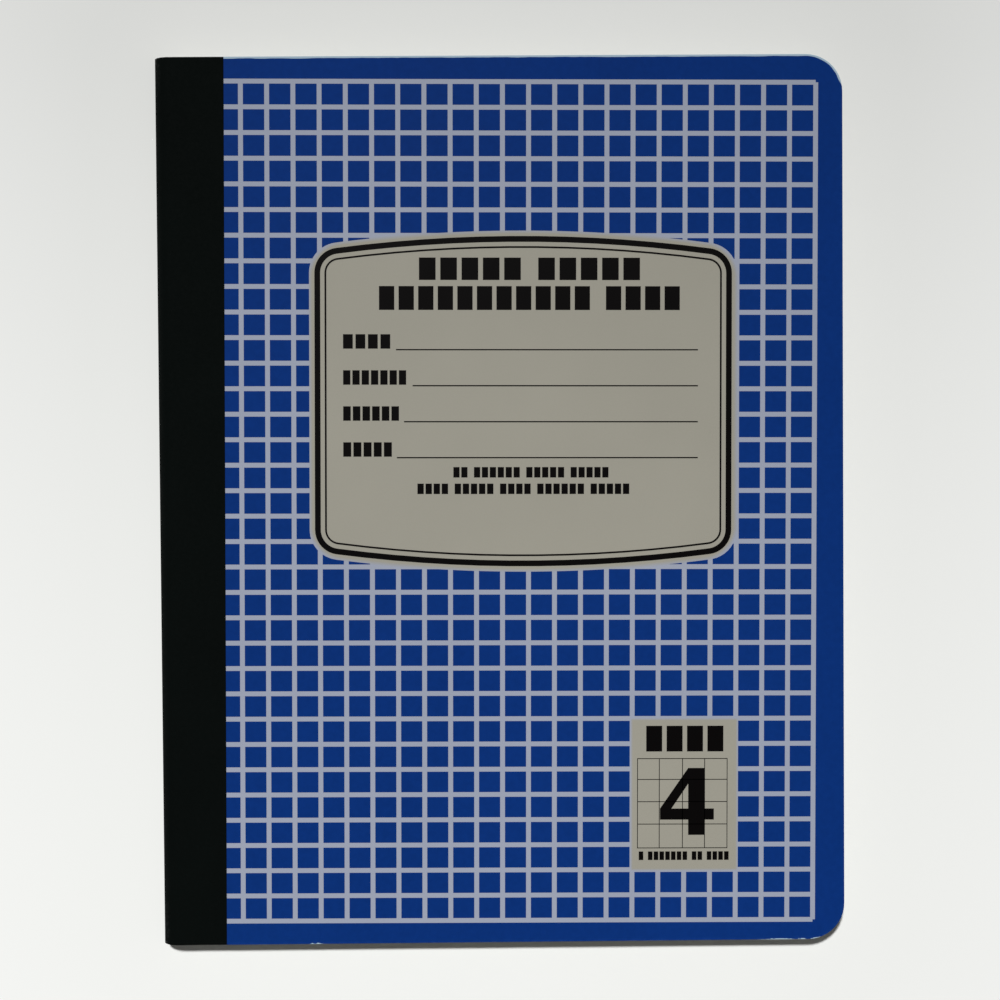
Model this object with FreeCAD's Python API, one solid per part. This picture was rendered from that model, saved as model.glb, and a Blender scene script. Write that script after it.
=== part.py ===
import FreeCAD, Part
import math
import os

# A sewn composition notebook with a taped spine, lying closed on its back cover.
# Millimetres. X runs from the spine to the fore-edge, Y from the tail to the head, Z up.
# The origin is under the middle of the notebook, in the plane that it lies on.

# Covers and pages
cover_width = 191.0
cover_length = 247.0
corner_radius = 10.2  # at the fore-edge
sheet_count = 80
sheet_thickness = 0.09
cover_thickness = 0.6  # board and printed layer together
ink_thickness = 0.05
back_print_thickness = 0.2

# Tape over the spine, laid slightly askew on the front
tape_thickness = 0.2
tape_width_head = 19.6
tape_width_tail = 17.95
hinge_gap = 0.3  # bare width that each cover bends at, between the spine and its board

# Stitches through the fold
stitch_length = 12.0
stitch_end_margin = 6.0
thread_diameter = 0.4
thread_sides = 6
stitch_diameter = 0.34  # of the same thread, pulled tight through the fold
needle_clearance = 0.06

# Printed squares, turned a little against the cut edges
square_pitch_x = 7.248
square_pitch_y = 7.081
line_width = 1.36
grid_fore_edge_margin = 8.15
grid_head_margin = 7.19
grid_least_tail_margin = 5.0
print_skew = -0.39
smallest_ink_patch = 0.3  # square millimetres

# Label
label_width = 116.0
label_height = 91.8
label_fore_edge_margin = 31.3
label_head_margin = 49.8
label_arch_radius = 402.0
label_corner_radius = 6.9
label_margin = 1.5
border_width = 1.6
border_gap = 1.2
hairline_width = 0.5

# Heading, captions and notes of the label, as rows of plain tiles, from the label's middle
tile_share = 0.78  # of the pitch of a row
word_space_share = 0.6
heading_shift = 1.7
heading_middles = (36.8, 28.7)
heading_widths = (61.4, 83.6)
heading_tile_heights = (6.2, 6.6)
heading_tile_counts = ((5, 5), (11, 4))
note_shifts = (2.1, 0.0)
note_middles = (-19.7, -24.3)
note_widths = (43.2, 59.0)
note_tile_height = 2.9
note_tile_counts = ((2, 6, 5, 5), (4, 5, 4, 6, 5))
writing_line_top = 14.2
writing_line_pitch = 10.0
writing_line_width = 0.35
writing_line_starts = (-35.4, -30.8, -33.2, -35.2)
writing_line_end = 48.6
caption_start = -50.1
caption_widths = (13.1, 17.5, 15.5, 13.5)
caption_tile_height = 4.0
caption_tile_counts = (4, 7, 6, 5)
caption_rise = 0.45

# Small box of squares near the tail, in whole squares of the print
box_columns = 4
box_rows = 6
box_columns_from_fore_edge = 3
box_rows_from_tail = 2
rule_columns = (6.1, 6.5, 6.2, 6.3)
rule_rows = (6.7, 6.3, 6.25, 5.85)  # from the tail, printed a little unevenly
rule_width = 0.2
rule_drop = 2.6
rule_shift = -0.42
box_heading_gap = 2.0
box_heading_shift = 0.25
box_heading_width = 21.6
box_heading_height = 7.2
box_heading_tile_counts = (4,)
box_note_gap = 1.0
box_note_width = 25.2
box_note_height = 2.4
box_note_tile_counts = (1, 7, 2, 4)
numeral_width = 15.1
numeral_height = 18.8
numeral_stem = 4.7
numeral_bar = 3.1
numeral_bar_rise = 4.3
numeral_toe = 2.5
numeral_eye_height = 7.0
numeral_eye_width = 4.7
numeral_shift = 1.3
numeral_rise = 0.5

# Worked out from the sizes above
block_thickness = sheet_count * sheet_thickness
total_thickness = block_thickness + 2 * cover_thickness
spine_radius = total_thickness / 2
fold_radius = spine_radius - tape_thickness
fold_depth = block_thickness / 2
spine_x = -cover_width / 2
fore_edge_x = cover_width / 2
head_y = cover_length / 2
hinge_x = spine_x + spine_radius
board_x = hinge_x + hinge_gap
line_half = line_width / 2
grid_room_x = cover_width - grid_fore_edge_margin - max(tape_width_head, tape_width_tail)
grid_columns = int(grid_room_x / square_pitch_x)
grid_room_y = cover_length - grid_head_margin - grid_least_tail_margin
grid_rows = int(grid_room_y / square_pitch_y)
label_x = fore_edge_x - label_fore_edge_margin - label_width / 2
label_y = head_y - label_head_margin - label_height / 2


def point(x, y, z=0.0):
    return FreeCAD.Vector(x, y, z)


def polygon(points):
    return Part.Face(Part.makePolygon(points + points[:1]))


def rectangle(left, low, right, high):
    return polygon([point(left, low), point(right, low), point(right, high), point(left, high)])


def arc(start, middle, end):
    return Part.Arc(start, middle, end).toShape()


def line(start, end):
    return Part.LineSegment(start, end).toShape()


def raised(faces, low, thickness):
    solids = []
    for face in faces:
        placed = face.translated(point(0, 0, low))
        solids.append(placed.extrude(point(0, 0, thickness)))
    return Part.makeCompound(solids)


def underside(shape):
    return shape.mirror(point(0, 0, spine_radius), point(0, 0, 1))


def trimmed_outline(left_tail, left_head):
    # A leaf or board seen from the front, square at the spine and rounded at the fore-edge.
    start_x = fore_edge_x - corner_radius
    start_y = head_y - corner_radius
    reach = corner_radius / math.sqrt(2)
    tail_corner = arc(
        point(start_x, -head_y),
        point(start_x + reach, -start_y - reach),
        point(fore_edge_x, -start_y),
    )
    head_corner = arc(
        point(fore_edge_x, start_y),
        point(start_x + reach, start_y + reach),
        point(start_x, head_y),
    )
    edges = [
        line(point(left_tail, -head_y), point(start_x, -head_y)),
        tail_corner,
        line(point(fore_edge_x, -start_y), point(fore_edge_x, start_y)),
        head_corner,
        line(point(start_x, head_y), point(left_head, head_y)),
        line(point(left_head, head_y), point(left_tail, -head_y)),
    ]
    return Part.Face(Part.Wire(edges))


def fold_arc(radius):
    # Outline of the rounded spine, looking along the fold.
    return arc(
        point(hinge_x, 0, spine_radius - radius),
        point(hinge_x - radius, 0, spine_radius),
        point(hinge_x, 0, spine_radius + radius),
    )


def along_fold(edges):
    face = Part.Face(Part.Wire(edges)).translated(point(0, -head_y, 0))
    return face.extrude(point(0, cover_length, 0))


def thread_lines():
    # Where the thread runs along the outside and the inside of the fold.
    outer_x = hinge_x - fold_radius + thread_diameter / 2
    return outer_x, outer_x + fold_depth


def rod(start, along, diameter):
    side = along.cross(point(0, 0, 1)).normalize()
    corners = []
    for index in range(thread_sides):
        turn = 2 * math.pi * (index + 0.5) / thread_sides
        across = side * math.cos(turn) + point(0, 0, math.sin(turn))
        corners.append(start + across * (diameter / 2))
    return polygon(corners).extrude(along)


def stitches(diameter):
    outer_x, inner_x = thread_lines()
    reach = head_y - stitch_end_margin - thread_diameter
    count = max(1, round(2 * reach / stitch_length))
    along = point(inner_x - outer_x, 0)
    pins = []
    for index in range(count + 1):
        start = point(outer_x, -reach + 2 * reach * index / count, spine_radius)
        pins.append(rod(start, along, diameter))
    return pins


def sewing_thread():
    runs = []
    reach = head_y - stitch_end_margin
    for run_x in thread_lines():
        start = point(run_x, -reach, spine_radius)
        runs.append(rod(start, point(0, 2 * reach), thread_diameter))
    return runs[0].fuse(runs[1:] + stitches(stitch_diameter))


def thread_room():
    # The groove outside the fold, the space inside it and the needle's holes.
    outer_x, inner_x = thread_lines()
    half = thread_diameter / 2 + needle_clearance
    reach = head_y - stitch_end_margin + needle_clearance
    low = spine_radius - half
    groove = Part.makeBox(outer_x + half - spine_x, 2 * reach, 2 * half, point(spine_x, -reach, low))
    space = Part.makeBox(2 * half, 2 * reach, 2 * half, point(inner_x - half, -reach, low))
    return groove.fuse([space] + stitches(stitch_diameter + 2 * needle_clearance))


def page_block():
    # The block is thicker at the fold, where it fills the tape, than between the boards.
    low = cover_thickness
    high = cover_thickness + block_thickness
    fold_low = spine_radius - fold_radius
    fold_high = spine_radius + fold_radius
    outline = [
        fold_arc(fold_radius),
        line(point(hinge_x, 0, fold_high), point(board_x, 0, high)),
        line(point(board_x, 0, high), point(fore_edge_x, 0, high)),
        line(point(fore_edge_x, 0, high), point(fore_edge_x, 0, low)),
        line(point(fore_edge_x, 0, low), point(board_x, 0, low)),
        line(point(board_x, 0, low), point(hinge_x, 0, fold_low)),
    ]
    trim = raised([trimmed_outline(spine_x, spine_x)], 0, total_thickness)
    block = along_fold(outline).common(trim.Solids[0])
    return block.cut(thread_room())


def spine_tape():
    high = total_thickness - tape_thickness
    return along_fold([
        fold_arc(spine_radius),
        line(point(hinge_x, 0, total_thickness), point(hinge_x, 0, high)),
        fold_arc(fold_radius),
        line(point(hinge_x, 0, tape_thickness), point(hinge_x, 0, 0)),
    ])


def tape_strip():
    # The part of the tape that is glued to the front board.
    outline = polygon([
        point(board_x, -head_y),
        point(spine_x + tape_width_tail, -head_y),
        point(spine_x + tape_width_head, head_y),
        point(board_x, head_y),
    ])
    return raised([outline], total_thickness - tape_thickness, tape_thickness)


def board(print_thickness):
    outline = trimmed_outline(board_x, board_x)
    low = total_thickness - cover_thickness
    bare = raised([outline], low, cover_thickness - print_thickness)
    return bare.Solids[0].cut(tape_strip())


def printed_field():
    return trimmed_outline(spine_x + tape_width_tail, spine_x + tape_width_head)


def inked(faces):
    # A printed layer of the front, with the faces given square to the print.
    layer = raised(faces, total_thickness - ink_thickness, ink_thickness)
    return layer.rotated(point(0, 0, 0), point(0, 0, 1), print_skew)


def line_x(column):
    return fore_edge_x - grid_fore_edge_margin - (grid_columns - column) * square_pitch_x


def line_y(row):
    return head_y - grid_head_margin - row * square_pitch_y


def label_outline(inset):
    # Straight sides, arched head and tail, and corners that keep their centres at any inset.
    side = label_width / 2 - inset
    corner = label_corner_radius - inset
    corner_x = label_width / 2 - label_corner_radius
    arch_y = label_height / 2 - label_arch_radius
    corner_y = arch_y + math.sqrt((label_arch_radius - label_corner_radius) ** 2 - corner_x**2)
    lean = math.atan2(corner_y - arch_y, corner_x)
    arch_end_x = corner_x + corner * math.cos(lean)
    arch_end_y = corner_y + corner * math.sin(lean)
    bend_x = corner_x + corner * math.cos(lean / 2)
    bend_y = corner_y + corner * math.sin(lean / 2)
    top = label_height / 2 - inset
    edges = [
        line(point(side, -corner_y), point(side, corner_y)),
        arc(point(side, corner_y), point(bend_x, bend_y), point(arch_end_x, arch_end_y)),
        arc(point(arch_end_x, arch_end_y), point(0, top), point(-arch_end_x, arch_end_y)),
        arc(point(-arch_end_x, arch_end_y), point(-bend_x, bend_y), point(-side, corner_y)),
        line(point(-side, corner_y), point(-side, -corner_y)),
        arc(point(-side, -corner_y), point(-bend_x, -bend_y), point(-arch_end_x, -arch_end_y)),
        arc(point(-arch_end_x, -arch_end_y), point(0, -top), point(arch_end_x, -arch_end_y)),
        arc(point(arch_end_x, -arch_end_y), point(bend_x, -bend_y), point(side, -corner_y)),
    ]
    return Part.Face(Part.Wire(edges)).translated(point(label_x, label_y))


def box_corners():
    right = line_x(grid_columns - box_columns_from_fore_edge)
    low = line_y(grid_rows - box_rows_from_tail)
    return right - box_columns * square_pitch_x, low, right, low + box_rows * square_pitch_y


def in_box(x, y):
    left, low, right, high = box_corners()
    return left < x < right and low < y < high


def ink_margin(field):
    # The plain border round the squares, with the outer lines stopping short at the corners.
    right = line_x(grid_columns)
    low = line_y(grid_rows)
    high = line_y(0)
    wide = rectangle(spine_x, low, right + line_half, high)
    tall = rectangle(spine_x, low - line_half, right, high + line_half)
    return field.cut([wide, tall]).Faces


def ink_square(column, row, field, label):
    left = line_x(column) + line_half
    if column < 0:
        left = spine_x
    right = line_x(column + 1) - line_half
    high = line_y(row) - line_half
    low = line_y(row + 1) + line_half
    if in_box((left + right) / 2, (low + high) / 2):
        return []
    square = rectangle(left, low, right, high)
    if column < 0:
        square = square.common(field)
    if square.BoundBox.intersect(label.BoundBox):
        square = square.cut(label)
    return [face for face in square.Faces if face.Area > smallest_ink_patch]


def front_blue_print():
    field = printed_field().rotated(point(0, 0, 0), point(0, 0, 1), -print_skew)
    label = label_outline(-label_margin)
    faces = ink_margin(field)
    for column in range(-1, grid_columns):
        for row in range(grid_rows):
            faces += ink_square(column, row, field, label)
    return inked(faces)


def tile_row(left, low, width, height, counts):
    # A row of plain upright tiles in groups, where a heading or a caption would stand.
    spaces = word_space_share * (len(counts) - 1)
    pitch = width / (sum(counts) + spaces - (1 - tile_share))
    faces = []
    for count in counts:
        for _ in range(count):
            faces.append(rectangle(left, low, left + pitch * tile_share, low + height))
            left += pitch
        left += pitch * word_space_share
    return faces


def middle_row(middle_x, middle_y, width, height, counts):
    return tile_row(middle_x - width / 2, middle_y - height / 2, width, height, counts)


def label_borders():
    inner = border_width + border_gap
    faces = label_outline(0).cut(label_outline(border_width)).Faces
    return faces + label_outline(inner).cut(label_outline(inner + hairline_width)).Faces


def label_headings():
    faces = []
    for row, counts in enumerate(heading_tile_counts):
        middle_y = label_y + heading_middles[row]
        width = heading_widths[row]
        height = heading_tile_heights[row]
        faces += middle_row(label_x + heading_shift, middle_y, width, height, counts)
    for row, counts in enumerate(note_tile_counts):
        middle_x = label_x + note_shifts[row]
        middle_y = label_y + note_middles[row]
        faces += middle_row(middle_x, middle_y, note_widths[row], note_tile_height, counts)
    return faces


def label_lines():
    faces = []
    for row, count in enumerate(caption_tile_counts):
        base = label_y + writing_line_top - row * writing_line_pitch
        start = label_x + writing_line_starts[row]
        end = label_x + writing_line_end
        faces.append(rectangle(start, base, end, base + writing_line_width))
        left = label_x + caption_start
        low = base + caption_rise
        faces += tile_row(left, low, caption_widths[row], caption_tile_height, (count,))
    return faces


def numeral(left, low):
    right = left + numeral_width
    stem_right = right - numeral_toe
    stem_left = stem_right - numeral_stem
    bar_low = low + numeral_bar_rise
    bar_high = bar_low + numeral_bar
    top = low + numeral_height
    outline = polygon([
        point(stem_left, low),
        point(stem_right, low),
        point(stem_right, bar_low),
        point(right, bar_low),
        point(right, bar_high),
        point(stem_right, bar_high),
        point(stem_right, top),
        point(stem_left, top),
        point(left, bar_high),
        point(left, bar_low),
        point(stem_left, bar_low),
    ])
    eye = polygon([
        point(stem_left, bar_high),
        point(stem_left, bar_high + numeral_eye_height),
        point(stem_left - numeral_eye_width, bar_high),
    ])
    return outline.cut(eye)


def ruled_square(left, low):
    edge = rule_width / 2
    right = left + sum(rule_columns)
    high = low + sum(rule_rows)
    holes = []
    for column, width in enumerate(rule_columns):
        hole_left = left + sum(rule_columns[:column])
        for row, height in enumerate(rule_rows):
            hole_low = low + sum(rule_rows[:row])
            hole_right = hole_left + width - edge
            hole_high = hole_low + height - edge
            holes.append(rectangle(hole_left + edge, hole_low + edge, hole_right, hole_high))
    return rectangle(left - edge, low - edge, right + edge, high + edge).cut(holes)


def box_print():
    left, low, right, high = box_corners()
    middle_x = (left + right) / 2
    middle_y = (low + high) / 2 - rule_drop
    square_x = middle_x + rule_shift
    square_low = middle_y - sum(rule_rows) / 2
    square_high = middle_y + sum(rule_rows) / 2
    sign_left = square_x + numeral_shift - numeral_width / 2
    sign = numeral(sign_left, middle_y + numeral_rise - numeral_height / 2)
    square = ruled_square(square_x - sum(rule_columns) / 2, square_low)
    faces = square.fuse(sign).removeSplitter().Faces
    heading_left = middle_x + box_heading_shift - box_heading_width / 2
    heading_low = square_high + box_heading_gap
    faces += tile_row(
        heading_left, heading_low, box_heading_width, box_heading_height, box_heading_tile_counts
    )
    note_left = middle_x - box_note_width / 2
    note_low = square_low - box_note_gap - box_note_height
    faces += tile_row(note_left, note_low, box_note_width, box_note_height, box_note_tile_counts)
    return faces


def front_black_print():
    return inked(label_borders() + label_headings() + label_lines() + box_print())


def back_blue_print():
    low = total_thickness - back_print_thickness
    return underside(raised([printed_field()], low, back_print_thickness))


def save(shape, node):
    solids = shape.Solids
    whole = solids[0] if len(solids) == 1 else Part.makeCompound(solids)
    whole.exportStep(os.path.join("parts", node + ".step"))
    print(node, len(solids), "solids", round(whole.Volume, 2), "cubic mm", whole.isValid())


os.makedirs("parts", exist_ok=True)
save(page_block(), "page_block")
save(sewing_thread(), "sewing_thread")
save(spine_tape(), "spine_tape")
save(board(ink_thickness), "front_board")
save(tape_strip(), "spine_tape_front")
save(front_blue_print(), "front_blue_print")
save(front_black_print(), "front_black_print")
save(underside(board(back_print_thickness)), "back_board")
save(underside(tape_strip()), "spine_tape_back")
save(back_blue_print(), "back_blue_print")
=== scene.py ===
import math
import random

import bpy
from mathutils import Matrix, Vector


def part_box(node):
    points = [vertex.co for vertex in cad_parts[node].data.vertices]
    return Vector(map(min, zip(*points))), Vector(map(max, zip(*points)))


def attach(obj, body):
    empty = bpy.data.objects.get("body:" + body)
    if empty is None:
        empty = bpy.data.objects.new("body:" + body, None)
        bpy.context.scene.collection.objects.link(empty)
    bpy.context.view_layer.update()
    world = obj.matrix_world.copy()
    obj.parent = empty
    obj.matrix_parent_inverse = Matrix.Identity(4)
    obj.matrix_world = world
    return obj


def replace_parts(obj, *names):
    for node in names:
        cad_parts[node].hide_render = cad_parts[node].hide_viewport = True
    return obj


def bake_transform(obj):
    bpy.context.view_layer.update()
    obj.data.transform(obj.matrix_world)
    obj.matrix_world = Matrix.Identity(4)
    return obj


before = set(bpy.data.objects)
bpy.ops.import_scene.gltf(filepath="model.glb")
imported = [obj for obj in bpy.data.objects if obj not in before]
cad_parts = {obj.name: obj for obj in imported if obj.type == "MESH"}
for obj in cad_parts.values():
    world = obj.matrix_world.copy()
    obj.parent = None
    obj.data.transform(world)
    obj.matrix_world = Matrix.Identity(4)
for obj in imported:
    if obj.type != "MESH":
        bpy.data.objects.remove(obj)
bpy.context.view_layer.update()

# A sewn composition notebook, lying closed on its back cover. Metres: X runs from the
# spine to the fore-edge, Y from the tail to the head, Z up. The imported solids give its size.
mm = 0.001
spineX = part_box("spine_tape")[0].x
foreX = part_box("front_board")[1].x
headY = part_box("front_board")[1].y
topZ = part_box("spine_tape_front")[1].z
middleZ = topZ / 2
hingeX = spineX + middleZ  # the spine is a half round of half the notebook's thickness
printSkew = math.radians(-0.39)  # the print is turned a little against the cut edges
near = 0.01 * mm  # places closer than this are the same one
beside = 1 * mm  # wide enough to pick an edge, narrow enough to leave the rest
weldDistance = 0.002 * mm
roundAngle = math.radians(35)  # edges that turn by less are shaded smooth
noiseSpan = (0.3, 0.7)  # most of a noise pattern's values lie in here
softSpan = (0.2, 0.8)  # nearly all of them do, which gives a softer change


# Small helpers for the hand work in edit mode

def deselectAll():
    if bpy.context.mode != "OBJECT":
        bpy.ops.object.mode_set(mode="OBJECT")
    bpy.ops.object.select_all(action="DESELECT")


def makeActive(piece):
    deselectAll()
    piece.select_set(True)
    bpy.context.view_layer.objects.active = piece


def startPlane(name, lowX, lowY, highX, highY, z):
    # A flat sheet between two corners.
    deselectAll()
    middle = ((lowX + highX) / 2, (lowY + highY) / 2, z)
    bpy.ops.mesh.primitive_plane_add(size=1, location=middle)
    piece = bpy.context.object
    piece.name = name
    piece.scale = (highX - lowX, highY - lowY, 1)
    bpy.ops.object.transform_apply(location=True, rotation=True, scale=True)
    return piece


def copyOf(source):
    piece = source.copy()
    piece.data = source.data.copy()
    bpy.context.scene.collection.objects.link(piece)
    return piece


def pickVerts(piece, test):
    # Selects the points that pass the test, and what lies between them, in edit mode.
    bpy.ops.object.mode_set(mode="EDIT")
    bpy.ops.mesh.select_mode(type="VERT")
    bpy.ops.mesh.select_all(action="DESELECT")
    bpy.ops.object.mode_set(mode="OBJECT")
    for point in piece.data.vertices:
        point.select = test(point.co)
    bpy.ops.object.mode_set(mode="EDIT")
    bpy.ops.mesh.select_mode(type="VERT")


def cutAcross(place, normal):
    bpy.ops.mesh.select_all(action="SELECT")
    bpy.ops.mesh.bisect(plane_co=place, plane_no=normal, use_fill=False)


def applyModifier(piece, kind, **settings):
    makeActive(piece)
    modifier = piece.modifiers.new(kind.title(), kind)
    for name, value in settings.items():
        setattr(modifier, name, value)
    bpy.ops.object.modifier_apply(modifier=modifier.name)


def tidyNormals(piece):
    makeActive(piece)
    bpy.ops.object.mode_set(mode="EDIT")
    bpy.ops.mesh.select_all(action="SELECT")
    bpy.ops.mesh.remove_doubles(threshold=weldDistance)
    bpy.ops.mesh.normals_make_consistent(inside=False)
    bpy.ops.object.mode_set(mode="OBJECT")


def smoothRounds(piece):
    makeActive(piece)
    bpy.ops.object.shade_smooth_by_angle(angle=roundAngle)


def dress(piece, material):
    piece.data.materials.clear()
    piece.data.materials.append(material)


# Small helpers for the shaders

def pixel(red, green, blue):
    # A screen colour from 0 to 255 as the light value that a shader takes, by the sRGB curve.
    colour = []
    for value in (red, green, blue):
        share = value / 255
        colour.append(share / 12.92 if share <= 0.04045 else ((share + 0.055) / 1.055) ** 2.4)
    return (*colour, 1)


def newMaterial(name, colour, roughness, specular):
    material = bpy.data.materials.new(name)
    material.use_nodes = True
    shader = material.node_tree.nodes["Principled BSDF"]
    shader.inputs["Base Color"].default_value = colour
    shader.inputs["Roughness"].default_value = roughness
    shader.inputs["Specular IOR Level"].default_value = specular
    return material, material.node_tree, shader


def feed(tree, socket, value):
    if isinstance(value, bpy.types.NodeSocket):
        tree.links.new(value, socket)
    else:
        socket.default_value = value


def sums(tree, operation, first, second=0.0, clamp=False):
    node = tree.nodes.new("ShaderNodeMath")
    node.operation = operation
    node.use_clamp = clamp
    feed(tree, node.inputs[0], first)
    feed(tree, node.inputs[1], second)
    return node.outputs[0]


def spread(tree, value, low, high, toLow=0.0, toHigh=1.0):
    # Stretches a value's range, held at both ends.
    node = tree.nodes.new("ShaderNodeMapRange")
    for slot, given in enumerate((value, low, high, toLow, toHigh)):
        feed(tree, node.inputs[slot], given)
    return node.outputs[0]


def fadeOut(tree, value, low, high):
    # 1 up to the low end, 0 past the high one.
    return spread(tree, value, low, high, 1.0, 0.0)


def vary(tree, pattern, levels, span=noiseSpan):
    # A noise pattern as a value that goes from one level to another.
    return spread(tree, pattern, *span, *levels)


def mixColour(tree, share, first, second, kind="MIX"):
    # A mix node has sockets for each kind of value, and 6, 7 and 2 are those for colour.
    node = tree.nodes.new("ShaderNodeMix")
    node.data_type = "RGBA"
    node.blend_type = kind
    feed(tree, node.inputs[0], share)
    feed(tree, node.inputs[6], first)
    feed(tree, node.inputs[7], second)
    return node.outputs[2]


def shaded(tree, colour, shade):
    return mixColour(tree, 1.0, colour, shade, "MULTIPLY")


def places(tree, turn=0.0, stretch=(1, 1, 1)):
    # The piece's own coordinates in metres, turned or stretched if the pattern asks for it.
    coords = tree.nodes.new("ShaderNodeTexCoord").outputs["Object"]
    mapping = tree.nodes.new("ShaderNodeMapping")
    tree.links.new(coords, mapping.inputs["Vector"])
    mapping.inputs["Rotation"].default_value = (0, 0, turn)
    mapping.inputs["Scale"].default_value = stretch
    return mapping.outputs["Vector"]


def axes(tree, vector):
    node = tree.nodes.new("ShaderNodeSeparateXYZ")
    tree.links.new(vector, node.inputs[0])
    return node.outputs[0], node.outputs[1], node.outputs[2]


def noise(tree, vector, size, detail=2.0, roughness=0.5):
    # Cloudy noise whose spots are about the given size in metres.
    node = tree.nodes.new("ShaderNodeTexNoise")
    tree.links.new(vector, node.inputs["Vector"])
    node.inputs["Scale"].default_value = 1 / size
    node.inputs["Detail"].default_value = detail
    node.inputs["Roughness"].default_value = roughness
    return node.outputs["Fac"]


def stripes(tree, value, pitch):
    # How far a place lies from the nearest of evenly spaced lines. The added metre keeps it
    # above zero on both sides of the origin.
    return sums(tree, "PINGPONG", sums(tree, "ADD", value, 1.0), pitch / 2)


def bump(tree, shader, height, depth, strength):
    node = tree.nodes.new("ShaderNodeBump")
    node.inputs["Strength"].default_value = strength
    node.inputs["Distance"].default_value = depth
    tree.links.new(height, node.inputs["Height"])
    tree.links.new(node.outputs["Normal"], shader.inputs["Normal"])


def cornerReach(tree, pastX, pastY):
    # How far a place lies from a corner's centre, each side counting once it is past it.
    sideX = sums(tree, "POWER", sums(tree, "MAXIMUM", pastX, 0.0), 2.0)
    sideY = sums(tree, "POWER", sums(tree, "MAXIMUM", pastY, 0.0), 2.0)
    return sums(tree, "SQRT", sums(tree, "ADD", sideX, sideY))


def inset(tree, vector):
    # How far in from the cover's trimmed edge a place is, rounded corners included.
    x, y, _ = axes(tree, vector)
    fromFore = sums(tree, "SUBTRACT", foreX, x)
    fromEnd = sums(tree, "SUBTRACT", headY, sums(tree, "ABSOLUTE", y))
    corner = cover["cornerRadius"]
    pastX = sums(tree, "SUBTRACT", corner, fromFore)
    pastY = sums(tree, "SUBTRACT", corner, fromEnd)
    fromCorner = sums(tree, "SUBTRACT", corner, cornerReach(tree, pastX, pastY))
    return sums(tree, "MINIMUM", fromCorner, sums(tree, "MINIMUM", fromFore, fromEnd))


# Covers: the boards, and the ink printed on them

cover = {
    "cornerRadius": 10.2 * mm,
    "edgeBevel": 0.07 * mm,
    "edgeAngle": math.radians(40),  # only edges sharper than this are broken
    "flatAngle": math.radians(2),  # neighbours flatter than this become one face
    "toothSize": 0.35 * mm,
    "toothDepth": 0.006 * mm,
    "toothStrength": 0.5,
    "fibreSize": 0.7 * mm,
    "fibreStretch": (1, 0.25, 1),
    "fibreShare": 0.6,
    "lineWhite": pixel(150, 156, 172),
    "labelWhite": pixel(151, 148, 136),
    "coreWhite": pixel(164, 186, 202),
    "insideWhite": pixel(172, 170, 160),
    "coreBand": (0.02 * mm, 0.09 * mm),  # in from the trimmed edge
    "faceDepth": 0.12 * mm,  # under the cover's top, where its printed face begins
    "cloudSize": 30 * mm,
    "cloudShade": (0.975, 1.02),
    "speckShade": (-0.02, 0.02),
    "roughness": 0.62,
    "roughnessSpan": (0.56, 0.7),
    "specular": 0.2,
    "labelMiddle": (6.2 * mm, 27.8 * mm),
    "labelHalf": (58.6 * mm, 46.5 * mm),
    "labelCorner": 7.5 * mm,
    "labelArch": 804 * mm,
    "labelFade": 1.2 * mm,
    "boxMiddle": (51.2 * mm, -82.1 * mm),
    "boxHalf": (14.4 * mm, 20.8 * mm),
    "boxFade": 0.7 * mm,
}

ink = {
    "blue": pixel(12, 48, 115),
    "blueWorn": pixel(34, 70, 128),
    "black": pixel(3, 2, 2),
    "blueSpecular": 0.008,
    "blackSpecular": 0.02,
    "roughness": 0.5,
    "cloudRoughness": (0.42, 0.5),
    "toothRoughness": (-0.05, 0.06),
    "toothDepth": 0.6 * cover["toothDepth"],
    "cloudSize": 45 * mm,
    "cloudShade": (0.95, 1.04),
    "mottleSize": 1.6 * mm,
    "mottleShade": (-0.05, 0.05),
    "rubWidth": 0.9 * mm,
    "rubShare": 0.3,
    "rubPatches": (0.4, 0.7),
    "bareSoftness": 0.06 * mm,
    "headLine": 0.55 * mm,
    "headBand": (9 * mm, 7 * mm),  # the head's line starts this far below the head
    "headRagged": 2.2 * mm,
    "headStretch": (0.3, 1, 1),
    "headDepths": (0.8, 1.15),
    # The middle, half length and depth of each nick.
    "tailNicks": ((-52 * mm, 3 * mm, 0.34 * mm), (81 * mm, 10 * mm, 0.3 * mm)),
    "nickCore": 0.6,  # the share of its half length with the full depth
    "tailBand": (2 * mm, 1 * mm),
    "tailBroken": 1.1 * mm,
    "tailStretch": (0.6, 1, 1),
    "tailGaps": (0.38, 0.52),
}


def patch(tree, x, y, middle, half, fade, corner=0.0, arch=None):
    # 1 inside a printed panel, fading to 0 around it. An arch bows its head and tail outwards.
    offX = sums(tree, "ABSOLUTE", sums(tree, "SUBTRACT", x, middle[0]))
    offY = sums(tree, "ABSOLUTE", sums(tree, "SUBTRACT", y, middle[1]))
    if arch:
        offY = sums(tree, "ADD", offY, sums(tree, "DIVIDE", sums(tree, "POWER", offX, 2.0), arch))
    pastX = sums(tree, "SUBTRACT", offX, half[0] - corner)
    pastY = sums(tree, "SUBTRACT", offY, half[1] - corner)
    return fadeOut(tree, cornerReach(tree, pastX, pastY), corner, corner + fade)


def paperTooth(tree, shader, vector, depth):
    # The paper's grain as a bump, with fibres along the cover. Gives back the fine grain.
    fine = noise(tree, vector, cover["toothSize"], detail=3.0, roughness=0.6)
    fibre = noise(tree, places(tree, stretch=cover["fibreStretch"]), cover["fibreSize"])
    height = sums(tree, "ADD", fine, sums(tree, "MULTIPLY", fibre, cover["fibreShare"]))
    bump(tree, shader, height, depth, cover["toothStrength"])
    return fine


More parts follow.
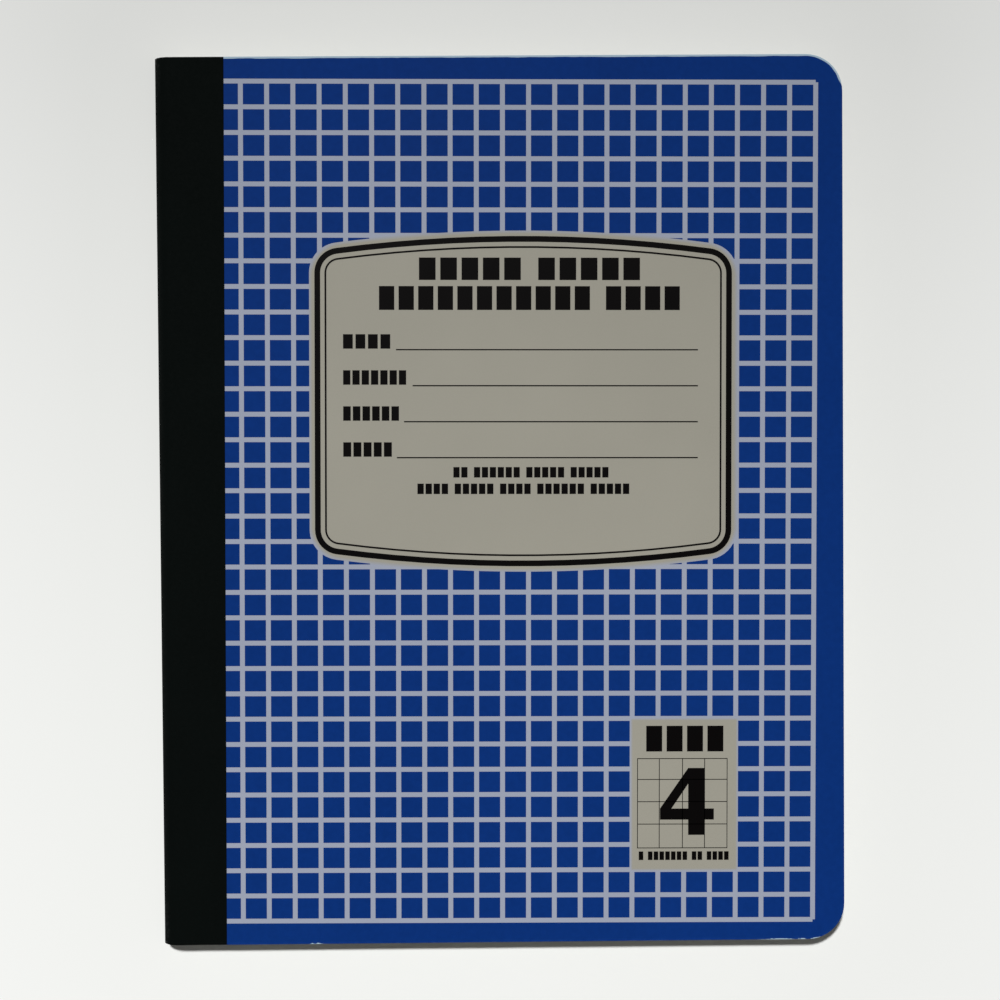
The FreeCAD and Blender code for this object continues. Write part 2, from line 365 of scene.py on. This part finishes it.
def printedFace(tree):
    # The unprinted lines are a cool white, the label and the small box a warm one.
    x, y, _ = axes(tree, places(tree, turn=-printSkew))
    label = patch(
        tree, x, y, cover["labelMiddle"], cover["labelHalf"], cover["labelFade"],
        cover["labelCorner"], cover["labelArch"],
    )
    box = patch(tree, x, y, cover["boxMiddle"], cover["boxHalf"], cover["boxFade"])
    panel = sums(tree, "MAXIMUM", label, box)
    return mixColour(tree, panel, cover["lineWhite"], cover["labelWhite"])


def boardMaterial(name, printed):
    material, tree, shader = newMaterial(
        name, cover["insideWhite"], cover["roughness"], cover["specular"]
    )
    vector = places(tree)
    colour = cover["insideWhite"]
    if printed:
        _, _, z = axes(tree, vector)
        outside = sums(tree, "GREATER_THAN", z, topZ - cover["faceDepth"])
        colour = mixColour(tree, outside, cover["insideWhite"], printedFace(tree))
    # The pulp core shows along the trimmed edges.
    edge = fadeOut(tree, inset(tree, vector), *cover["coreBand"])
    colour = mixColour(tree, edge, colour, cover["coreWhite"])
    cloud = noise(tree, vector, cover["cloudSize"], detail=3.0)
    speck = paperTooth(tree, shader, vector, cover["toothDepth"])
    cloudShade = vary(tree, cloud, cover["cloudShade"])
    speckShade = vary(tree, speck, cover["speckShade"])
    colour = shaded(tree, colour, sums(tree, "ADD", cloudShade, speckShade))
    rough = vary(tree, speck, cover["roughnessSpan"], softSpan)
    tree.links.new(colour, shader.inputs["Base Color"])
    tree.links.new(rough, shader.inputs["Roughness"])
    return material


def bareEdge(tree, vector):
    # How deep the ink is gone: a steady pale line along the head, a few thin nicks at the tail.
    x, y, _ = axes(tree, vector)
    headFrom, headTo = ink["headBand"]
    tailFrom, tailTo = ink["tailBand"]
    headPlaces = places(tree, stretch=ink["headStretch"])
    ragged = noise(tree, headPlaces, ink["headRagged"], detail=3.0, roughness=0.6)
    atHead = spread(tree, y, headY - headFrom, headY - headTo)
    head = sums(tree, "MULTIPLY", atHead, vary(tree, ragged, ink["headDepths"]))
    depth = sums(tree, "MULTIPLY", head, ink["headLine"])
    atTail = spread(tree, y, tailFrom - headY, tailTo - headY)
    broken = noise(tree, places(tree, stretch=ink["tailStretch"]), ink["tailBroken"])
    broken = spread(tree, broken, *ink["tailGaps"])
    for middle, half, deepest in ink["tailNicks"]:
        away = sums(tree, "ABSOLUTE", sums(tree, "SUBTRACT", x, middle))
        nick = fadeOut(tree, away, ink["nickCore"] * half, half)
        nick = sums(tree, "MULTIPLY", sums(tree, "MULTIPLY", nick, atTail), broken)
        depth = sums(tree, "ADD", depth, sums(tree, "MULTIPLY", nick, deepest))
    return depth


def inkMaterial(name, colour, worn, specular, edges):
    material, tree, shader = newMaterial(name, colour, ink["roughness"], specular)
    vector = places(tree)
    cloud = noise(tree, vector, ink["cloudSize"], detail=3.0)
    mottle = noise(tree, vector, ink["mottleSize"], roughness=0.6)
    tooth = paperTooth(tree, shader, vector, ink["toothDepth"])
    cloudShade = vary(tree, cloud, ink["cloudShade"])
    mottleShade = vary(tree, mottle, ink["mottleShade"])
    tint = shaded(tree, colour, sums(tree, "ADD", cloudShade, mottleShade))
    if edges:
        # The trimmed edges are rubbed paler, and bare where the ink has gone.
        depthIn = inset(tree, vector)
        past = sums(tree, "SUBTRACT", bareEdge(tree, vector), depthIn)
        bare = spread(tree, past, 0.0, ink["bareSoftness"])
        rub = spread(tree, depthIn, 0.0, ink["rubWidth"], ink["rubShare"], 0.0)
        rub = sums(tree, "MULTIPLY", rub, spread(tree, mottle, *ink["rubPatches"]))
        tint = mixColour(tree, rub, tint, worn)
        tint = mixColour(tree, bare, tint, cover["coreWhite"])
    toothRough = vary(tree, tooth, ink["toothRoughness"], softSpan)
    rough = sums(tree, "ADD", toothRough, vary(tree, cloud, ink["cloudRoughness"]))
    tree.links.new(tint, shader.inputs["Base Color"])
    tree.links.new(rough, shader.inputs["Roughness"])
    return material


def finishBoard(node, name, body, material):
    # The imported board's shape, joined up, with its sharp edges just broken.
    piece = copyOf(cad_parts[node])
    piece.name = name
    piece.parent = None
    for key in list(piece.keys()):
        del piece[key]
    piece.matrix_world = Matrix.Identity(4)
    tidyNormals(piece)
    bpy.ops.object.mode_set(mode="EDIT")
    bpy.ops.mesh.select_all(action="SELECT")
    bpy.ops.mesh.dissolve_limited(angle_limit=cover["flatAngle"])
    bpy.ops.object.mode_set(mode="OBJECT")
    applyModifier(
        piece, "BEVEL", width=cover["edgeBevel"], segments=2,
        limit_method="ANGLE", angle_limit=cover["edgeAngle"],
    )
    dress(piece, material)
    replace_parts(piece, node)
    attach(piece, body)


frontPaper = boardMaterial("frontCoverPaper", True)
backPaper = boardMaterial("backCoverPaper", False)
finishBoard("front_board", "front_cover_board", "front_cover", frontPaper)
finishBoard("back_board", "back_cover_board", "back_cover", backPaper)
blueInk = inkMaterial("blueCoverInk", ink["blue"], ink["blueWorn"], ink["blueSpecular"], True)
blackInk = inkMaterial("blackPrintInk", ink["black"], ink["black"], ink["blackSpecular"], False)
dress(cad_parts["front_blue_print"], blueInk)
dress(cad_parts["back_blue_print"], blueInk)
dress(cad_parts["front_black_print"], blackInk)
print("covers: boards and printed inks are done")


# Pages: folded sheets, one inside the other

pages = {
    "folios": 40,
    "sheet": 0.09 * mm,
    "solidShare": 0.94,  # of a sheet's thickness, which leaves a hair of air between leaves
    "halfBlock": 3.6 * mm,
    "foldBulge": 4.0 * mm,  # the fold swells to fill the tape
    "foldSteps": 6,
    "foldWeld": 0.004 * mm,
    "cornerSteps": 5,
    "trim": 0.05 * mm,  # shorter than the covers at the head and the tail
    "edgeWander": 0.05 * mm,
    "paper": pixel(186, 183, 172),
    "paperEdge": pixel(176, 172, 160),
    "edgeBand": (0.05 * mm, 0.3 * mm),
    "leafSize": 0.14 * mm,
    "leafStretch": (0.02, 0.02, 1),
    "leafShade": (0.78, 1.08),
    "grainSize": 0.3 * mm,
    "grainDepth": 0.004 * mm,
    "grainStrength": 0.4,
    "roughness": 0.75,
    "specular": 0.15,
    "rule": pixel(132, 158, 178),
    "rulePitch": 6.35 * mm,
    "ruleWidth": 0.22 * mm,
    "ruleFade": (0.5, 0.8),  # shares of its width
    "ruleShare": 0.75,
    "ruleLostAtEdge": 0.6,
    "seed": 7,
}


def pageMaterial():
    material, tree, shader = newMaterial(
        "pagePaper", pages["paper"], pages["roughness"], pages["specular"]
    )
    vector = places(tree)
    x, y, _ = axes(tree, vector)
    solid, gone = (share * pages["ruleWidth"] for share in pages["ruleFade"])
    lines = []
    for axis in (x, y):
        away = stripes(tree, axis, pages["rulePitch"])
        lines.append(fadeOut(tree, away, solid, gone))
    edge = fadeOut(tree, inset(tree, vector), *pages["edgeBand"])
    lost = sums(tree, "MULTIPLY", edge, pages["ruleLostAtEdge"])
    left = sums(tree, "SUBTRACT", pages["ruleShare"], lost)
    ruled = sums(tree, "MULTIPLY", sums(tree, "MAXIMUM", *lines), left)
    # On the trimmed edges the pattern is drawn out along the leaves.
    leafPlaces = places(tree, stretch=pages["leafStretch"])
    leaf = noise(tree, leafPlaces, pages["leafSize"], roughness=0.7)
    colour = mixColour(tree, edge, pages["paper"], pages["paperEdge"])
    leaves = shaded(tree, colour, vary(tree, leaf, pages["leafShade"]))
    colour = mixColour(tree, edge, colour, leaves)
    colour = mixColour(tree, ruled, colour, pages["rule"])
    tree.links.new(colour, shader.inputs["Base Color"])
    grain = noise(tree, vector, pages["grainSize"], detail=3.0, roughness=0.6)
    bump(tree, shader, grain, pages["grainDepth"], pages["grainStrength"])
    return material


def outerFolio():
    # Half of a folded sheet: a leaf with its rounded corners, and a quarter turn of the fold.
    z = middleZ + pages["halfBlock"]
    piece = startPlane("folio", hingeX, -headY, foreX, headY, z)
    pickVerts(piece, lambda co: co.x > foreX - beside)
    bpy.ops.mesh.bevel(
        offset=cover["cornerRadius"], segments=pages["cornerSteps"], affect="VERTICES"
    )
    bpy.ops.object.mode_set(mode="OBJECT")
    pickVerts(piece, lambda co: co.x < hingeX + beside)
    bpy.ops.mesh.spin(
        steps=pages["foldSteps"], angle=math.pi / 2, center=(hingeX, 0, middleZ), axis=(0, 1, 0)
    )
    bpy.ops.object.mode_set(mode="OBJECT")
    return piece


def stackFolios(mirrorPoint):
    randomly = random.Random(pages["seed"])
    first = outerFolio()
    swell = pages["foldBulge"] / pages["halfBlock"]
    trimmed = 1 - pages["trim"] / headY
    folios = []
    for count in range(pages["folios"]):
        piece = copyOf(first)
        inner = 1 - (count + 0.5) / pages["folios"]
        shiftX = randomly.uniform(-1, 0) * pages["edgeWander"]
        shiftY = randomly.uniform(-0.5, 0.5) * pages["edgeWander"]
        for point in piece.data.vertices:
            co = point.co
            if co.x < hingeX - near:
                co.x = hingeX + (co.x - hingeX) * inner * swell
            elif co.x > hingeX + beside:
                co.x += shiftX
            co.y = co.y * trimmed + shiftY
            co.z = middleZ + (co.z - middleZ) * inner
        folios.append(piece)
        applyModifier(
            piece, "MIRROR", use_axis=(False, False, True), use_clip=False,
            merge_threshold=pages["foldWeld"], mirror_object=mirrorPoint,
        )
        tidyNormals(piece)
        applyModifier(
            piece, "SOLIDIFY", thickness=pages["solidShare"] * pages["sheet"], offset=0
        )
    bpy.data.objects.remove(first)
    makeActive(folios[0])
    for piece in folios[1:]:
        piece.select_set(True)
    bpy.ops.object.join()
    block = bpy.context.object
    block.name = "page_folios"
    smoothRounds(block)
    return block


foldMiddle = bpy.data.objects.new("foldMiddle", None)
bpy.context.scene.collection.objects.link(foldMiddle)
foldMiddle.location = (0, 0, middleZ)
bpy.context.view_layer.update()
pageBlock = stackFolios(foldMiddle)
bpy.data.objects.remove(foldMiddle)
dress(pageBlock, pageMaterial())
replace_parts(pageBlock, "page_block")
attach(pageBlock, "text_block")
print("pages:", pages["folios"], "folded sheets are stacked")


# Thread: the imported stitches, with a twisted strand's look and a painted shade in its grooves

thread = {
    "colour": pixel(176, 173, 163),
    # The colour of the grooves between the strands, a painted shade.
    "shade": pixel(120, 117, 108),
    "twist": 0.5 * mm,
    "grooveDepth": 0.05 * mm,
    "grooveStrength": 0.6,
    "roughness": 0.8,
    "specular": 0.2,
}


def threadMaterial():
    material, tree, shader = newMaterial(
        "sewingThread", thread["colour"], thread["roughness"], thread["specular"]
    )
    x, y, z = axes(tree, places(tree))
    slant = sums(tree, "ADD", y, sums(tree, "ADD", x, z))
    strand = stripes(tree, slant, thread["twist"])
    groove = spread(tree, strand, 0.0, thread["twist"] / 2)
    # The colour darkens towards the grooves between the strands, a painted shade of the twist. The
    # bump below gives the grooves their relief.
    colour = mixColour(tree, groove, thread["shade"], thread["colour"])
    tree.links.new(colour, shader.inputs["Base Color"])
    bump(tree, shader, groove, thread["grooveDepth"], thread["grooveStrength"])
    return material


dress(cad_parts["sewing_thread"], threadMaterial())
print("thread: done")


# Spine tape: one cloth strip, in two halves that meet at the middle of the spine

tape = {
    "thickness": 0.2 * mm,
    "headEdge": spineX + 19.6 * mm,
    "tailEdge": spineX + 17.95 * mm,
    "foldSteps": 12,
    "bendFrom": hingeX - 0.45 * mm,
    "bendTo": hingeX + 0.3 * mm,
    "bendCuts": 4,
    "faceCuts": (0.15, 0.4, 0.7),  # shares of the part on the board
    "rows": 60,
    "edgeWander": 0.035 * mm,
    "weave": 0.34 * mm,
    "roundShare": 0.9,  # round the spine, height stands in for width by this share
    "weaveDepth": 0.02 * mm,
    "weaveStrength": 0.35,
    "lintSize": 0.8 * mm,
    "lintShare": 0.5,
    "colour": pixel(5, 8, 7),
    "cloudSize": 25 * mm,
    "cloudShade": (0.88, 1.1),
    "roughness": 0.72,
    "roughnessSpan": (0.66, 0.8),
    "specular": 0.02,
    "worn": pixel(52, 54, 53),
    "wornSize": 1.2 * mm,
    "wornPatches": (0.48, 0.72),
    "wornRidge": 2.2 * mm,
    "wornEnds": 14 * mm,
    "wornMidway": 0.12,
    "seed": 3,
}


def tapeMaterial():
    material, tree, shader = newMaterial(
        "spineCloth", tape["colour"], tape["roughness"], tape["specular"]
    )
    vector = places(tree)
    x, y, z = axes(tree, vector)
    # Warp and weft are two crossing ribs.
    across = sums(tree, "ADD", x, sums(tree, "MULTIPLY", z, tape["roundShare"]))
    ribs = []
    for value in (across, y):
        ribs.append(spread(tree, stripes(tree, value, tape["weave"]), 0.0, tape["weave"] / 2))
    lint = noise(tree, vector, tape["lintSize"], detail=3.0, roughness=0.6)
    linty = sums(tree, "MULTIPLY", lint, tape["lintShare"])
    height = sums(tree, "ADD", sums(tree, "MAXIMUM", *ribs), linty)
    bump(tree, shader, height, tape["weaveDepth"], tape["weaveStrength"])
    # Rubbed grey along the round of the spine, most at the head and tail corners.
    ridge = fadeOut(tree, x, spineX, spineX + tape["wornRidge"])
    fromMiddle = sums(tree, "ABSOLUTE", y)
    ends = spread(tree, fromMiddle, headY - tape["wornEnds"], headY, tape["wornMidway"], 1.0)
    patchy = noise(tree, vector, tape["wornSize"], detail=4.0, roughness=0.7)
    patchy = spread(tree, patchy, *tape["wornPatches"])
    wear = sums(tree, "MULTIPLY", sums(tree, "MULTIPLY", ridge, ends), patchy)
    cloud = noise(tree, vector, tape["cloudSize"], detail=3.0)
    colour = shaded(tree, tape["colour"], vary(tree, cloud, tape["cloudShade"]))
    colour = mixColour(tree, wear, colour, tape["worn"])
    rough = vary(tree, lint, tape["roughnessSpan"], softSpan)
    tree.links.new(colour, shader.inputs["Base Color"])
    tree.links.new(rough, shader.inputs["Roughness"])
    return material


def tapeHalf(name, front):
    # The flat part over the board first, then a quarter turn round the spine.
    piece = startPlane(name, hingeX, -headY, tape["headEdge"], headY, topZ)
    makeActive(piece)
    bpy.ops.object.mode_set(mode="EDIT")
    step = (tape["bendTo"] - hingeX) / tape["bendCuts"]
    for count in range(1, tape["bendCuts"] + 1):
        cutAcross((hingeX + count * step, 0, 0), (1, 0, 0))
    for share in tape["faceCuts"]:
        cutAcross((hingeX + share * (tape["headEdge"] - hingeX), 0, 0), (1, 0, 0))
    pickVerts(piece, lambda co: co.x < hingeX + near)
    bpy.ops.mesh.spin(
        steps=tape["foldSteps"], angle=math.pi / 2, center=(hingeX, 0, middleZ), axis=(0, 1, 0)
    )
    for count in range(1, tape["rows"]):
        cutAcross((0, -headY + 2 * headY * count / tape["rows"], 0), (0, 1, 0))
    bpy.ops.object.mode_set(mode="OBJECT")
    tidyNormals(piece)
    # The long edge runs askew, and the cut ends are a little ragged.
    randomly = random.Random(tape["seed"])
    wander = {}
    for point in piece.data.vertices:
        co = point.co
        slant = (tape["headEdge"] - tape["tailEdge"]) * (co.y + headY) / (2 * headY)
        edge = tape["tailEdge"] + slant
        if co.x > tape["bendTo"] + near:
            share = (co.x - tape["bendTo"]) / (tape["headEdge"] - tape["bendTo"])
            co.x = tape["bendTo"] + share * (edge - tape["bendTo"])
        if abs(co.y) > headY - near:
            key = (round(co.x, 5), round(co.z, 5), co.y > 0)  # to 0.01 mm
            wander.setdefault(key, randomly.uniform(0, 1))
            co.y -= math.copysign(tape["edgeWander"] * wander[key], co.y)
    applyModifier(piece, "SOLIDIFY", thickness=tape["thickness"], offset=-1)
    if not front:
        for point in piece.data.vertices:
            point.co.z = 2 * middleZ - point.co.z
        piece.data.flip_normals()
    smoothRounds(piece)
    dress(piece, spineCloth)
    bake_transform(piece)
    return piece


spineCloth = tapeMaterial()
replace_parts(tapeHalf("spine_tape_front_half", True), "spine_tape", "spine_tape_front")
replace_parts(tapeHalf("spine_tape_back_half", False), "spine_tape", "spine_tape_back")
print("spine tape: both halves are laid")


# Floor, light and camera

stage = {
    "floor": pixel(240, 241, 238),
    "floorRoughness": 0.9,
    "floorSize": 30.0,
    "floorDrop": 0.95 * mm,  # room for the back cover, which opens to just under the pages
    "fadeFrom": 20 * mm,  # past the closed notebook's outline, so that its shadow stays whole
    "fadeTo": 240 * mm,
    "white": (1, 1, 1, 1),
    "worldLevel": 0.08,
    "spot": 231.0,
    "spotPlace": (-0.24, 0.79, 2.0),
    "spotTarget": (0.0, -0.9, 0.0),
    "spotAngle": math.radians(66),
    "spotRadius": 0.08,
}

view = {
    "sensor": 36.0,
    "lens": 64.67,
    "place": (-5.96 * mm, 12.26 * mm, 508.52 * mm),
    "turn": (-1.356, -0.656, -0.405),  # degrees
}


def seenRays(tree):
    # 1 for what the camera sees, straight on, in a gloss or through glass.
    path = tree.nodes.new("ShaderNodeLightPath")
    seen = sums(tree, "ADD", path.outputs["Is Camera Ray"], path.outputs["Is Glossy Ray"])
    return sums(tree, "ADD", seen, path.outputs["Is Transmission Ray"], clamp=True)


def layFloor():
    deselectAll()
    place = (0, 0, -stage["floorDrop"])
    bpy.ops.mesh.primitive_plane_add(size=stage["floorSize"], location=place)
    floor = bpy.context.object
    floor.name = "floor"
    material, tree, shader = newMaterial("paleFloor", stage["floor"], stage["floorRoughness"], 0.0)
    # Seen from afar the floor goes over into the white background, with no horizon.
    x, y, _ = axes(tree, places(tree))
    pastX = sums(tree, "SUBTRACT", sums(tree, "ABSOLUTE", x), foreX)
    pastY = sums(tree, "SUBTRACT", sums(tree, "ABSOLUTE", y), headY)
    fade = spread(tree, cornerReach(tree, pastX, pastY), stage["fadeFrom"], stage["fadeTo"])
    white = tree.nodes.new("ShaderNodeEmission")
    white.inputs["Color"].default_value = stage["white"]
    mixer = tree.nodes.new("ShaderNodeMixShader")
    tree.links.new(sums(tree, "MULTIPLY", fade, seenRays(tree)), mixer.inputs[0])
    tree.links.new(shader.outputs[0], mixer.inputs[1])
    tree.links.new(white.outputs[0], mixer.inputs[2])
    tree.links.new(mixer.outputs[0], tree.nodes["Material Output"].inputs["Surface"])
    dress(floor, material)


def addSpot():
    # A softened studio spot from the head side, brightest at the tail.
    lamp = bpy.data.lights.new("studioSpot", "SPOT")
    lamp.energy = stage["spot"]
    lamp.spot_size = stage["spotAngle"]
    lamp.spot_blend = 1.0
    lamp.shadow_soft_size = stage["spotRadius"]
    holder = bpy.data.objects.new("studioSpot", lamp)
    bpy.context.scene.collection.objects.link(holder)
    holder.location = stage["spotPlace"]
    aim = Vector(stage["spotTarget"]) - Vector(stage["spotPlace"])
    holder.rotation_euler = aim.to_track_quat("-Z", "Y").to_euler()


def lightScene():
    # An even pale surrounding lights the notebook, and what is seen of it is white.
    scene = bpy.context.scene
    scene.view_settings.view_transform = "Standard"
    world = bpy.data.worlds.new("studio")
    scene.world = world
    world.use_nodes = True
    tree = world.node_tree
    plain = tree.nodes["Background"]
    plain.inputs["Strength"].default_value = stage["worldLevel"]
    plain.inputs["Color"].default_value = stage["white"]
    white = tree.nodes.new("ShaderNodeBackground")
    white.inputs["Color"].default_value = stage["white"]
    mixer = tree.nodes.new("ShaderNodeMixShader")
    tree.links.new(seenRays(tree), mixer.inputs[0])
    tree.links.new(plain.outputs[0], mixer.inputs[1])
    tree.links.new(white.outputs[0], mixer.inputs[2])
    tree.links.new(mixer.outputs[0], tree.nodes["World Output"].inputs["Surface"])
    addSpot()


def addCamera():
    # Straight above, a little askew, as the photograph was taken.
    data = bpy.data.cameras.new("camera")
    data.sensor_width = view["sensor"]
    data.lens = view["lens"]
    camera = bpy.data.objects.new("camera", data)
    bpy.context.scene.collection.objects.link(camera)
    camera.location = view["place"]
    camera.rotation_euler = [math.radians(angle) for angle in view["turn"]]
    bpy.context.scene.camera = camera


layFloor()
lightScene()
addCamera()
print("stage: floor, light and camera are set")
